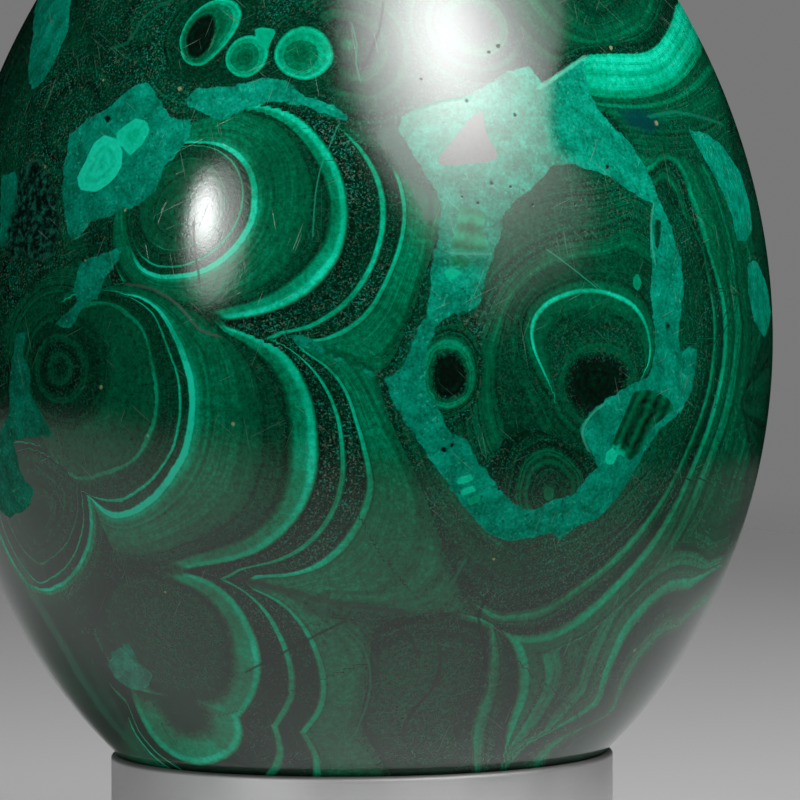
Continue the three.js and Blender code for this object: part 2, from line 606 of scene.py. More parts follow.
# Pieces of older stone that lie in the filling: level of colour, stripes to the millimetre, the slant of
# the stripes in degrees, outline. Above the bare level they are bare pale rock, painted a little lighter as a
# painted highlight of the main light's haze.
BARE_LEVEL = 1.2
FRAGMENTS = (
    (0.90, 0.0, 0, (
        (79, 190), (77, 178), (86, 160), (94, 143), (104, 135), (115, 138), (123, 150), (122, 166),
        (111, 182), (95, 192),
    )),
    (0.80, 0.0, 0, (
        (114, 135), (124, 126), (136, 118), (147, 121), (150, 131), (142, 145), (130, 156), (123, 148),
    )),
    (0.44, 0.9, 80, ((460, 206), (485, 212), (483, 232), (490, 250), (462, 252), (450, 250), (456, 228))),
    (0.34, 0.0, 0, ((448, 257), (462, 254), (474, 262), (466, 268), (452, 267))),
    (0.66, 0.0, 0, ((443, 270), (450, 268), (463, 271), (455, 279), (448, 280))),
    (1.50, 0.0, 0, ((470, 118), (482, 110), (486, 132), (498, 158), (472, 164), (437, 164), (448, 146))),
    (0.72, 0.0, 0, ((455, 479), (471, 474), (474, 480), (458, 485))),
    (0.74, 0.0, 0, ((459, 490), (474, 485), (477, 491), (462, 496))),
    (0.50, 0.0, 0, ((465, 500), (479, 494), (482, 500), (470, 506))),
    (
        0.20, 1.1, -29,
        (
            (633, 392), (648, 389), (668, 398), (676, 408), (664, 418), (652, 428), (641, 452),
            (630, 461), (617, 449), (612, 444), (621, 422), (628, 405),
        ),
    ),
    (0.78, 0.0, 0, ((606, 452), (613, 447), (618, 455), (613, 466), (605, 463))),
    (0.62, 0.0, 0, ((613, 445), (619, 441), (631, 452), (625, 459))),
    (0.12, 0.0, 0, ((656, 216), (661, 222), (660, 242), (657, 252), (654, 235))),
    (0.60, 0.0, 0, ((254, 29), (263, 27), (277, 30), (272, 40), (268, 50), (259, 46), (256, 38))),
    (0.28, 0.0, 0, ((544, 488), (549, 486), (554, 490), (553, 499), (549, 502), (544, 498))),
    (0.46, 0.0, 0, ((633, 276), (638, 273), (642, 283), (638, 292), (633, 286))),
)
# Thin lines across the stone: tone of STROKE_SCALE, half width in pixels, points.
STROKES = (
    (0.95, 3.2, ((539, 88), (551, 80), (563, 72), (576, 63), (585, 57))),
    (0.56, 13.0, ((20, 560), (36, 600), (60, 640), (84, 682), (110, 720), (138, 750), (165, 775))),
    (0.52, 2.6, ((112, 48), (128, 43), (136, 30), (143, 18), (155, 8), (172, 0))),
    (0.40, 7.0, ((112, 700), (126, 728), (146, 756), (166, 776))),
    (0.22, 4.5, ((240, 578), (262, 584), (290, 591), (320, 600), (360, 606), (405, 613))),
    (0.31, 13.0, ((386, 132), (398, 150), (412, 172), (424, 194), (432, 214))),
    (0.28, 2.0, ((128, 284), (155, 290), (178, 305), (198, 328), (218, 336))),
    (0.12, 2.4, ((385, 622), (400, 628), (412, 640), (418, 655))),
    (0.12, 2.4, ((440, 650), (440, 668), (432, 690), (415, 708), (405, 725), (403, 740))),
    (0.55, 1.6, ((345, 628), (362, 645), (370, 670), (368, 700), (355, 735))),
    (0.52, 2.4, ((400, 605), (430, 600), (450, 585), (465, 560))),
    (0.00, 2.0, ((246, 672), (262, 664), (288, 650), (315, 636), (342, 622))),
    (0.00, 2.4, ((492, 588), (484, 602), (478, 616), (481, 632), (485, 652), (486, 668))),
    (0.00, 1.8, ((194, 222), (194, 240), (197, 262), (199, 280))),
    (0.70, 1.0, ((338, 125), (328, 150), (320, 170), (315, 200), (313, 235))),
    (0.70, 1.0, ((548, 250), (572, 268), (597, 288))),
    (0.72, 1.8, ((450, 253), (468, 254), (488, 254))),
    (0.80, 1.8, ((588, 450), (582, 433), (590, 416), (604, 404))),
    (0.78, 1.8, ((653, 206), (651, 225), (652, 245), (655, 262))),
    (0.66, 1.2, ((352, 25), (357, 45), (356, 62), (360, 80))),
    (0.05, 2.0, ((383, 2), (381, 22), (374, 45), (364, 66))),
    (0.85, 1.8, ((402, 118), (420, 108), (440, 102), (460, 98), (470, 97))),
    (0.60, 3.0, ((650, 117), (672, 112), (700, 117), (722, 124))),
)
# Small spots: x, y and radius in pixels.
PITS = (
    (467, 101, 2.6), (498, 46, 2.8), (489, 52, 2), (515, 115, 2.8), (492, 184, 3.4), (511, 187, 2),
    (462, 197, 2), (607, 167, 4), (668, 326, 5), (499, 488, 3), (505, 493, 3), (444, 449, 4),
    (452, 445, 3.5), (107, 119, 7), (421, 79, 2), (575, 205, 2), (533, 205, 2), (478, 203, 2),
)
GLINTS = (
    (103, 80, 2.5), (180, 88, 3), (125, 210, 2.5), (85, 260, 2.5), (611, 47, 4), (657, 123, 4),
    (101, 387, 2.5), (148, 436, 2.5), (165, 592, 2.5), (635, 650, 4), (45, 167, 2.5), (38, 193, 2.5),
    (40, 210, 2.5), (33, 220, 2.5), (27, 246, 2.5), (233, 424, 2.5), (494, 559, 2),
)


def signed_distance(points, outline):
    """Distance of flat points from a closed outline, below zero inside it."""
    inside = np.zeros(len(points), bool)
    nearest = np.full(len(points), np.inf)
    for a, b in zip(outline, np.roll(outline, -1, axis=0)):
        along = b - a
        share = np.clip(((points - a) @ along) / (along @ along), 0, 1)
        nearest = np.minimum(nearest, np.linalg.norm(points - a - share[:, None] * along, axis=1))
        crosses = (a[1] > points[:, 1]) != (b[1] > points[:, 1])
        height = along[1] or TINY
        inside ^= crosses & (points[:, 0] < along[0] * (points[:, 1] - a[1]) / height + a[0])
    return np.where(inside, -nearest, nearest)


def traced_distance(chart, pixels):
    """Distance of points on the chart from an outline traced on the photo, below zero inside it."""
    return signed_distance(chart, EGG.chart(EGG.seen(pixels)))


def line_distance(points, line):
    """Distance from an open line, with the side as its sign, and how far past its ends a point is."""
    best = np.full(len(points), np.inf)
    signed = np.zeros(len(points))
    past = np.zeros(len(points))
    last = len(line) - 2
    for i, (a, b) in enumerate(zip(line[:-1], line[1:])):
        along = b - a
        length = np.linalg.norm(along)
        raw = ((points - a) @ along) / length
        share = np.clip(raw, 0, length)
        away = points - a - share[:, None] * along / length
        distance = np.linalg.norm(away, axis=1)
        side = np.sign(along[0] * (points[:, 1] - a[1]) - along[1] * (points[:, 0] - a[0]))
        over = np.zeros(len(points))
        if i == 0:
            over = np.maximum(over, -raw)
        if i == last:
            over = np.maximum(over, raw - length)
        closer = distance < best
        best = np.where(closer, distance, best)
        signed = np.where(closer, distance * side, signed)
        past = np.where(closer, over, past)
    return signed, past


def random_lobes(draw, most):
    """An uneven roundness, as (lobes, amount, turn)."""
    return [
        (count, draw.uniform(0.3, 1.0) * most / count**0.7, draw.uniform(0, OVER_A_TURN))
        for count in (1, 2, 3, 4)
    ]


def hidden_growths(seed, count):
    """Growths for the sides, back and top, spread evenly where the photo doesn't reach."""
    draw = np.random.default_rng(seed)
    growths = []
    golden = math.pi * (3 - math.sqrt(5))
    for i in range(count):
        level = 1 - 2 * (i + 0.5) / count
        place = EGG.place(level, golden * i + draw.uniform(-0.3, 0.3))
        kind = draw.choice((BANDED, BANDED, BANDED, FLOWING, DARK, RINGED))
        step = {BANDED: 3.2, FLOWING: 2.6, DARK: 2.4, RINGED: 1.8}[kind] * draw.uniform(0.8, 1.3)
        first = 4.6 if kind == FLOWING else draw.uniform(0, 0.8)
        growths.append(Growth(kind, place, step, first=first, lobes=random_lobes(draw, 0.16)))
    return growths


def hidden_patches(points, seed, count):
    """Distance from patches of filling on the sides, back and top, below zero inside them."""
    draw = np.random.default_rng(seed)
    nearest = np.full(len(points), FAR)
    for _ in range(count):
        place = EGG.place(draw.uniform(-0.9, 0.9), draw.uniform(0, 2 * math.pi))
        patch = Growth(DARK, place, 1.0, lobes=random_lobes(draw, 0.6))
        nearest = np.minimum(nearest, patch.polar(points)[1] - draw.uniform(1.2, 3.6))
    return nearest


def photographed(points):
    """0 on the sides, back and top, and larger the further a point lies inside what the photo shows."""
    facing = -points[:, 1] / EGG.half_width
    below = (PHOTO_TOP - points[:, 2]) / 3
    return np.clip((facing + 0.05) * 14, 0, KEPT_OUT) * np.clip(below, 0, 1)


def layers_of(order, count):
    """A layer for each growth, so that no layer holds two growths that meet anywhere."""
    meeting = np.zeros((count, count), bool)
    for a in range(3):
        for b in range(a):
            meeting[order[a], order[b]] = True
            meeting[order[b], order[a]] = True
    layers = {}
    for i in np.argsort(-meeting.sum(0)):
        taken = {layers[j] for j in np.flatnonzero(meeting[i]) if j in layers}
        layers[i] = min(set(range(count)) - taken)
    if max(layers.values()) >= GROWTH_LAYERS:
        raise RuntimeError(f"the growths need {max(layers.values()) + 1} layers")
    return layers


def paint_growths(mesh, points, chart):
    """Stores the growths on the mesh, in layers, and how far each point is from a seam between them."""
    front = left_growths() + right_growths() + island_growths()
    back = hidden_growths(seed=11, count=46)
    growths = front + back
    island = traced_distance(chart, ISLAND_OUTLINE)
    ring = traced_distance(chart, FILLING_RING)
    guard = photographed(points)
    steps = np.array([growth.steps_at(points) for growth in growths])
    # The island's growths stop just outside it, and the photo's other growths are kept out of it.
    for i, growth in enumerate(growths):
        if growth.home == "island":
            steps[i] += np.where(island > 0.3, KEPT_OUT, 0.0)
        elif growth in back:
            steps[i] += guard
        else:
            steps[i] += np.where(ring < -1.2, KEPT_OUT, 0.0) * (island < 0)
    steps = np.clip(steps, 0.0, LAST_STEP)
    order = np.argsort(steps, axis=0)[:4]
    families = [growth.family for growth in growths]
    numbers = np.array([families.index(family) for family in families])
    nearest = np.take_along_axis(steps, order, axis=0)
    seam = np.full(len(points), FAR)
    for rank in (3, 2, 1):
        foreign = numbers[order[rank]] != numbers[order[0]]
        seam = np.where(foreign, nearest[rank] - nearest[0], seam)
    store(mesh, "seam", "FLOAT", np.minimum(seam, FAR))
    layers = layers_of(order, len(growths))
    for layer in range(GROWTH_LAYERS):
        values = np.zeros((len(points), 3))
        values[:, 2] = EMPTY_STEP
        members = [i for i in range(len(growths)) if layers[i] == layer]
        if members:
            winner = np.array(members)[np.argmin(steps[members], axis=0)]
            for i in members:
                here = winner == i
                values[here, :2] = growths[i].heading(points[here])
                values[here, 2] = steps[i][here] + KIND_STRIDE * growths[i].kind
        store(mesh, f"growth_{layer}", "FLOAT_VECTOR", values)


def store(mesh, name, kind, values):
    attribute = mesh.attributes.new(name, kind, "POINT")
    field = "value" if kind == "FLOAT" else "vector"
    attribute.data.foreach_set(field, np.asarray(values, np.float32).ravel())


def paint_fragments(mesh, chart):
    """Stores the distance from the nearest piece caught in the filling, its level and its stripes."""
    values = np.full((len(chart), 3), FAR)
    for level, stripes, slant, pixels in FRAGMENTS:
        distance = traced_distance(chart, smooth_line(pixels + pixels[:1])[1:])
        closer = distance < values[:, 0]
        slant = math.radians(slant)
        values[closer, 0] = distance[closer]
        values[closer, 1] = level
        values[closer, 2] = stripes * (chart[closer] @ (math.cos(slant), math.sin(slant)))
    store(mesh, "fragment", "FLOAT_VECTOR", values)


def paint_strokes(mesh, chart):
    """Stores the distance from the nearest stroke in half widths, how far past its end, and its tone."""
    values = np.full((len(chart), 3), FAR)
    for tone, half_width, pixels in STROKES:
        signed, past = line_distance(chart, EGG.chart(EGG.seen(smooth_line(pixels))))
        signed *= PIXELS_PER_MM / half_width
        near = np.abs(signed) + past < np.abs(values[:, 0]) + values[:, 1]
        values[near, 0] = signed[near]
        values[near, 1] = past[near]
        values[near, 2] = tone
    store(mesh, "stroke", "FLOAT_VECTOR", values)


def paint_egg(mesh):
    """Works out where growths, filling, fragments and lines lie, and stores them on the mesh's points."""
    points = np.empty(len(mesh.vertices) * 3)
    mesh.vertices.foreach_get("co", points)
    points = points.reshape(-1, 3) / MM
    chart = EGG.chart(points)
    paint_growths(mesh, points, chart)
    filling = np.maximum(traced_distance(chart, FILLING_RING), -traced_distance(chart, ISLAND_OUTLINE))
    for patch in FILLING_PATCHES:
        filling = np.minimum(filling, traced_distance(chart, patch))
    filling = np.minimum(filling, hidden_patches(points, seed=5, count=26) + photographed(points))
    zones = (filling, traced_distance(chart, HAZE_OUTLINE), traced_distance(chart, HOLLOW_OUTLINE))
    store(mesh, "zones", "FLOAT_VECTOR", np.column_stack(zones))
    paint_fragments(mesh, chart)
    store(mesh, "blue_spot", "FLOAT", traced_distance(chart, BLUE_SPOT))
    paint_strokes(mesh, chart)


class Wire:
    """An output socket. Arithmetic on it adds Math nodes to its tree."""

    def __init__(self, sheet, socket):
        self.sheet = sheet
        self.socket = socket

    def math(self, operation, *values):
        return self.sheet.math(operation, self, *values)

    def __add__(self, other):
        return self.math("ADD", other)

    def __radd__(self, other):
        return self.sheet.math("ADD", other, self)

    def __sub__(self, other):
        return self.math("SUBTRACT", other)

    def __rsub__(self, other):
        return self.sheet.math("SUBTRACT", other, self)

    def __mul__(self, other):
        return self.math("MULTIPLY", other)

    def __rmul__(self, other):
        return self.sheet.math("MULTIPLY", other, self)

    def __truediv__(self, other):
        return self.math("DIVIDE", other)

    def __lt__(self, other):
        return self.math("LESS_THAN", other)

    def __gt__(self, other):
        return self.math("GREATER_THAN", other)


class Sheet:
    """A node tree to write in."""

    def __init__(self, tree):
        self.tree = tree

    def node(self, kind, settings=None, sockets=None):
        """Adds a node: its settings first, then its sockets' values or links. A colour is three numbers."""
        node = self.tree.nodes.new(kind)
        for name, value in (settings or {}).items():
            if name == "stops":
                set_stops(node.color_ramp, value)
            else:
                setattr(node, name, value)
        for name, value in (sockets or {}).items():
            socket = node.inputs[name]
            if isinstance(value, Wire):
                self.tree.links.new(value.socket, socket)
            else:
                socket.default_value = (*value, 1) if socket.type == "RGBA" else value
        return node

    def wire(self, kind, settings=None, sockets=None, output=0):
        """Adds a node and returns one of its outputs."""
        return Wire(self, self.node(kind, settings, sockets).outputs[output])

    def math(self, operation, *values):
        return self.wire("ShaderNodeMath", {"operation": operation}, dict(enumerate(values)))

    def vector(self, operation, *values, output=0, **sockets):
        """Vector Math. Its number, such as a length, is output 1."""
        sockets.update(enumerate(values))
        return self.wire("ShaderNodeVectorMath", {"operation": operation}, sockets, output)

    def smooth(self, value, low, high, start=0.0, end=1.0):
        """The start level below low, the end level above high and a smooth step between."""
        sockets = {"Value": value, "From Min": low, "From Max": high, "To Min": start, "To Max": end}
        return self.wire("ShaderNodeMapRange", {"interpolation_type": "SMOOTHSTEP"}, sockets)

    def noise(self, vector, scale, detail=2.0, roughness=0.5):
        """Noise from 0 to 1, at a scale per unit of the vector."""
        sockets = {"Vector": vector, "Scale": scale, "Detail": detail, "Roughness": roughness}
        return self.wire("ShaderNodeTexNoise", {}, sockets, "Fac")

    def line_noise(self, value, scale, detail=2.0):
        """Noise along one number, for lines of growth."""
        sockets = {"W": value, "Scale": scale, "Detail": detail}
        return self.wire("ShaderNodeTexNoise", {"noise_dimensions": "1D"}, sockets, "Fac")

    def mix(self, share, a, b, kind="RGBA"):
        """A blend of two colours, or of two values of another kind: FLOAT or VECTOR."""
        first = {"FLOAT": 2, "VECTOR": 4, "RGBA": 6}[kind]
        sockets = {0: share, first: a, first + 1: b}
        return self.wire("ShaderNodeMix", {"data_type": kind}, sockets, first // 2 - 1)

    def attribute(self, name, output="Vector"):
        return self.wire("ShaderNodeAttribute", {"attribute_name": name}, {}, output)

    def ramp(self, value, stops):
        return self.wire("ShaderNodeValToRGB", {"stops": stops}, {"Fac": value})

    def combine(self, x, y, z):
        return self.wire("ShaderNodeCombineXYZ", {}, {0: x, 1: y, 2: z})

    def split(self, vector):
        node = self.node("ShaderNodeSeparateXYZ", {}, {0: vector})
        return [Wire(self, output) for output in node.outputs]

    def place(self):
        """The place on the object, in metres."""
        return self.wire("ShaderNodeTexCoord", {}, {}, "Object")


def blank_sheet(owner):
    """The emptied node tree of a material, a light or a world."""
    owner.use_nodes = True
    owner.node_tree.nodes.clear()
    return Sheet(owner.node_tree)


def set_stops(ramp, stops):
    """Gives a colour ramp its stops: (position, colour), with grey as one number."""
    while len(ramp.elements) < len(stops):
        ramp.elements.new(1.0)
    for element, (position, colour) in zip(ramp.elements, stops):
        element.position = position
        element.color = (colour, colour, colour, 1) if isinstance(colour, (int, float)) else (*colour, 1)


# How light each kind of banding is, from 0 for near black to 1 for the palest mint: the broad tone at
# growth steps.
STEP_SPAN = 8.0
TONES = {
    BANDED: (
        (0, 0.25), (0.6, 0.27), (0.68, 0.24), (0.9, 0.17), (0.98, 0.13), (1.06, 0.34), (1.2, 0.38),
        (1.4, 0.35), (1.55, 0.29), (1.66, 0.17), (1.72, 0.19), (1.82, 0.10), (2.0, 0.12), (2.1, 0.08),
        (2.8, 0.11), (3.1, 0.11), (3.8, 0.12), (4.1, 0.36), (4.35, 0.39), (4.8, 0.36), (5.05, 0.32),
        (5.4, 0.26), (6.5, 0.24), (8, 0.25),
    ),
    FLOWING: (
        (0, 0.16), (4.5, 0.20), (5.0, 0.19), (5.2, 0.11), (5.45, 0.14), (5.65, 0.20), (5.88, 0.10),
        (6.12, 0.34), (6.25, 0.26), (6.35, 0.30), (6.45, 0.16), (6.62, 0.36), (6.8, 0.24), (7.0, 0.34),
        (7.3, 0.22), (7.6, 0.34), (8, 0.22),
    ),
    LAYERED: (
        (0, 0.12), (0.6, 0.20), (0.9, 0.26), (1.2, 0.22), (1.6, 0.10), (1.97, 0.10), (2.03, 0.76),
        (2.15, 0.90), (2.38, 0.72), (2.5, 0.62), (2.62, 0.76), (2.74, 0.68), (2.88, 0.50), (3.02, 0.40),
        (3.1, 0.26), (3.35, 0.22), (3.55, 0.44), (3.75, 0.38), (3.9, 0.20), (4.2, 0.26), (4.6, 0.32),
        (5, 0.22), (8, 0.22),
    ),
    RINGED: (
        (0, 0.02), (0.36, 0.04), (0.44, 0.34), (0.6, 0.30), (0.72, 0.40), (0.79, 0.36), (0.82, 0.66),
        (0.9, 0.56), (0.97, 0.70), (1.02, 0.50), (1.06, 0.14), (1.5, 0.14), (3, 0.18), (8, 0.18),
    ),
    DARK: (
        (0, 0.03), (0.45, 0.05), (0.7, 0.15), (0.85, 0.26), (1.0, 0.32), (1.1, 0.14), (1.3, 0.10),
        (1.5, 0.24), (1.62, 0.13), (1.85, 0.14), (2.0, 0.24), (2.15, 0.16), (2.6, 0.12), (3.2, 0.20),
        (4, 0.13), (8, 0.16),
    ),
    ISLAND: (
        (0, 0.03), (0.34, 0.03), (0.55, 0.16), (0.62, 0.26), (0.72, 0.16), (0.78, 0.13), (0.9, 0.31),
        (0.96, 0.25), (1.04, 0.32), (1.12, 0.18), (1.3, 0.21), (1.5, 0.17), (1.72, 0.20), (1.85, 0.33),
        (2.0, 0.30), (2.2, 0.18), (2.6, 0.22), (8, 0.22),
    ),
    PITTED: (
        (0, 0.0), (0.55, 0.02), (0.74, 0.16), (0.86, 0.42), (1.06, 0.50), (1.25, 0.34), (1.5, 0.18),
        (1.9, 0.14), (2.0, 0.30), (2.1, 0.14), (3, 0.16), (8, 0.16),
    ),
    ARCHED: (
        (0, 0.24), (0.3, 0.15), (0.5, 0.22), (0.62, 0.15), (0.78, 0.28), (0.86, 0.18), (0.96, 0.30),
        (1.10, 0.12), (1.35, 0.16), (1.55, 0.07), (1.75, 0.15), (1.95, 0.08), (2.2, 0.22), (2.35, 0.12),
        (2.6, 0.22), (2.75, 0.14), (2.95, 0.27), (3.1, 0.12), (3.6, 0.15), (8, 0.16),
    ),
    EDGED: (
        (0, 0.18), (0.5, 0.20), (0.68, 0.16), (0.9, 0.12), (1.0, 0.16), (1.1, 0.22), (1.4, 0.14), (2.2, 0.11),
        (3.0, 0.18), (3.6, 0.24), (4.2, 0.14), (8, 0.16),
    ),
    EYED: (
        (0, 0.19), (0.2, 0.16), (0.30, 0.12), (0.37, 0.09), (0.41, 0.27), (0.45, 0.30), (0.49, 0.16),
        (0.56, 0.20), (0.60, 0.32), (0.64, 0.21), (0.8, 0.26), (8, 0.22),
    ),
}
# The clear lines of growth: step, widths of the inner edge, the line and the outer edge, level.
LINES = {
    BANDED: (
        (0.70, 0.006, 0.004, 0.026, 0.46), (0.93, 0.012, 0.006, 0.015, 0.68), (1.0, 0.02, 0.03, 0.03, 1.00),
        (1.0, 0.02, 0.05, 0.10, 0.54), (1.15, 0.02, 0.01, 0.04, 0.44), (1.84, 0.10, 0.08, 0.10, 0.53),
        (1.93, 0.08, 0.01, 0.09, 0.74), (2.96, 0.12, 0.08, 0.16, 0.64), (3.94, 0.14, 0.05, 0.12, 0.68),
    ),
    FLOWING: (
        (5.5, 0.14, 0.03, 0.20, 0.42), (5.98, 0.12, 0.06, 0.18, 0.60), (6.48, 0.12, 0.05, 0.18, 0.54),
    ),
    LAYERED: ((1.0, 0.1, 0.05, 0.1, 0.34), (1.3, 0.06, 0.03, 0.06, 0.28)),
    ISLAND: ((0.97, 0.03, 0.01, 0.04, 0.72), (1.35, 0.03, 0.02, 0.05, 0.2)),
    ARCHED: ((1.0, 0.03, 0.02, 0.05, 0.36), (2.15, 0.03, 0.02, 0.05, 0.30)),
    EDGED: (
        (0.70, 0.02, 0.01, 0.04, 0.38), (0.93, 0.012, 0.006, 0.015, 0.60), (1.0, 0.02, 0.02, 0.03, 0.84),
        (1.0, 0.02, 0.05, 0.10, 0.46),
    ),
}
# The malachite's own colours, from its darkest to its palest.
MALACHITE_SCALE = (
    (0.00, (0.0020, 0.005, 0.0036)),
    (0.08, (0.0004, 0.014, 0.006)),
    (0.20, (0.0, 0.050, 0.021)),
    (0.36, (0.0, 0.120, 0.050)),
    (0.56, (0.0, 0.270, 0.130)),
    (0.78, (0.001, 0.440, 0.248)),
    (1.00, (0.008, 0.660, 0.420)),
)
STROKE_SCALE = (
    (0.00, (0.001, 0.006, 0.004)),
    (0.20, (0.010, 0.014, 0.009)),
    (0.30, (0.040, 0.100, 0.072)),
    (0.42, (0.002, 0.080, 0.038)),
    (0.50, (0.001, 0.110, 0.052)),
    (0.70, (0.006, 0.300, 0.170)),
    (1.00, (0.120, 0.660, 0.440)),
)
FILLING_SCALE = (
    (0.10, (0.0, 0.062, 0.034)),
    (0.40, (0.0, 0.142, 0.082)),
    (0.65, (0.0, 0.245, 0.150)),
    (1.00, (0.004, 0.430, 0.290)),
)
FILLING_GRAIN = (0.03, 0.50, 0.33)
FILLING_SPECK = (0.001, 0.045, 0.030)
GREEN_DUST = (0.014, 0.270, 0.180)
# Brown specks: painted glints of light off fine scratches.
BROWN_SCRATCH_GLINTS = (0.110, 0.190, 0.135)
# Bare pale rock, painted a little lighter as a painted highlight of the main light's haze.
HAZE_LIT_BARE_ROCK = ((0.140, 0.143, 0.132), (0.165, 0.160, 0.150))
BLUE_STONE = (0.001, 0.040, 0.046)
# Painted shade in the small pits.
PIT_SHADE = (0.0005, 0.008, 0.008)
GLINT_PALE = (0.36, 0.40, 0.20)
# Painted shade inside the hollow.
HOLLOW_SHADE = (0.001, 0.007, 0.005)
HOLLOW_CRYSTAL = (0.008, 0.130, 0.080)
SCRATCH_PALE = (0.16, 0.30, 0.22)
# Painted shade on the ring's rim, under the stone.
RIM_SHADE_METAL = (0.10, 0.095, 0.085)


def stone_level(sheet, kind, step, vigour):
    """How light one kind of banding is at a growth step."""
    stops = [(at / STEP_SPAN, level) for at, level in TONES[kind]]
    level = sheet.ramp(step / STEP_SPAN, stops)
    lines = None
    for at, inner, width, outer, bright in LINES.get(kind, ()):
        fall = sheet.smooth(step, at + width, at + width + outer, 1.0, 0.0)
        line = sheet.smooth(step, at - inner, at, 0.0, bright) * fall
        lines = line if lines is None else lines.math("MAXIMUM", line)
    return level if lines is None else level.math("MAXIMUM", lines * vigour)


def first_growth(sheet):
    """The growth that reached each place first: its heading in two numbers, its step and its kind."""
    best = sheet.attribute("growth_0")
    step = sheet.split(best)[2].math("MODULO", KIND_STRIDE)
    for layer in range(1, GROWTH_LAYERS):
        other = sheet.attribute(f"growth_{layer}")
        other_step = sheet.split(other)[2].math("MODULO", KIND_STRIDE)
        best = sheet.mix(other_step < step, best, other, "VECTOR")
        step = step.math("MINIMUM", other_step)
    heading_x, heading_y, code = sheet.split(best)
    return heading_x, heading_y, step, (code / KIND_STRIDE).math("FLOOR")


def banded_stone(sheet, place, ragged, grain, clear, unsteady):
    """How light the banding is, and its colour with the dust and the painted scratch glints in it."""
    heading_x, heading_y, reach, kind = first_growth(sheet)
    pitted = kind.math("COMPARE", float(PITTED), 0.5)
    wobble = (sheet.noise(place, 0.35) - 0.5) * 0.03 + (sheet.noise(place, 3.0) - 0.5) * 0.010
    step = reach + (wobble + ragged * pitted * 0.16) * unsteady
    seam = sheet.smooth(sheet.attribute("seam", "Fac"), 0.02, 0.32)
    round_about = sheet.combine(heading_x * 1.7, heading_y * 1.7, step * 0.9 + kind * 5)
    vigour = (0.5 + sheet.noise(round_about, 1.0)) * (0.4 + seam * 0.6)
    # The banded lines die away towards the left, the flowing ones higher up and the island's below.
    z = sheet.split(place)[2]
    high = sheet.smooth(z, 38.0, 42.0)
    leftward = sheet.smooth(heading_x * -1, 0.55, 0.9) * sheet.smooth(z, 15.2, 17.2)
    vigours = {
        BANDED: vigour * (1 - leftward * 0.7) * (1 - sheet.smooth(heading_y, 0.6, 1.0) * high * 0.3),
        FLOWING: vigour * (1 - high * 0.3),
        ISLAND: vigour * sheet.smooth(heading_y, -0.62, -0.30),
    }
    level = stone_level(sheet, BANDED, step, vigours[BANDED])
    for other in (FLOWING, LAYERED, RINGED, DARK, ISLAND, PITTED, ARCHED, EDGED, EYED):
        chosen = kind.math("COMPARE", float(other), 0.5)
        other_level = stone_level(sheet, other, step, vigours.get(other, vigour))
        level = sheet.mix(chosen, level, other_level, "FLOAT")
    level = level * (0.70 + seam * 0.30)

    # Specks where the stone is dark but not black: pale green dust of broken crystals, and brown specks that
    # are painted glints of light off fine scratches.
    gloom = (1 - sheet.smooth(level, 0.08, 0.36)) * sheet.smooth(level, 0.03, 0.08)
    patchy = sheet.smooth(sheet.noise(place, 0.3, 3.0), 0.36, 0.64)
    thick = sheet.smooth(step, 1.8, 2.1) - sheet.smooth(step, 4.2, 5.4) * 0.6
    speck = sheet.smooth(sheet.noise(place, 7.0, 2.0, 0.7), 0.48, 0.74)
    dust_and_glints = speck * gloom * (0.35 + patchy * 0.65) * (0.40 + thick * 0.60) * (0.3 + clear * 0.7)
    hue = sheet.smooth(sheet.noise(sheet.vector("ADD", place, (7, 3, 1)), 2.2), 0.46, 0.60)
    dust_and_glint_colour = sheet.mix(hue, GREEN_DUST, BROWN_SCRATCH_GLINTS)

    # Fine growth lines, fibres across them and the grain of the stone.
    fine = sheet.line_noise(step + kind * 3.7, 7.0, 3.0) - 0.5
    hair = sheet.line_noise(step + kind * 1.3, 30.0) - 0.5
    fibre = sheet.noise(sheet.combine(heading_x * 16.0, heading_y * 16.0, step * 1.2), 3.0, 3.0) - 0.5
    clouds = sheet.noise(place, 0.16, 3.0) - 0.5
    relief = 0.26 + level * 0.4
    lined = vigour * (0.45 + patchy * 0.75) * (0.4 + clear * 0.6)
    level = level + ((fine + hair * 0.5) * lined + fibre * 0.34 + grain * 1.35) * relief
    level = level * (1 + clouds * 0.8 + ragged * 0.20)
    return level, sheet.mix(dust_and_glints, sheet.ramp(level, MALACHITE_SCALE), dust_and_glint_colour)


def filling_colour(sheet, place):
    """The filling between the growths: granular, with pale grains and dark specks."""
    x, _, z = sheet.split(place)
    mottle = sheet.noise(place, 0.9, 4.0, 0.62)
    grit = sheet.noise(place, 5.5, 3.0)
    # Painted light and shade: the filling is painted paler high up and darker towards the left, where the
    # main light is weaker.
    painted_lighting = sheet.smooth(z, 34.0, 64.0) * 0.16 - sheet.smooth(x * -1, 8.0, 21.0) * 0.10
    colour = sheet.ramp(mottle * 1.1 + grit * 0.8 - 0.43 + painted_lighting, FILLING_SCALE)
    grains = sheet.smooth(sheet.noise(place, 4.2, 1.0), 0.64, 0.74)
    colour = sheet.mix(grains * 0.38, colour, FILLING_GRAIN)
    specks = sheet.smooth(sheet.noise(sheet.vector("ADD", place, (9, 2, 5)), 3.6, 1.0), 0.66, 0.74)
    return sheet.mix(specks * 0.6, colour, FILLING_SPECK)


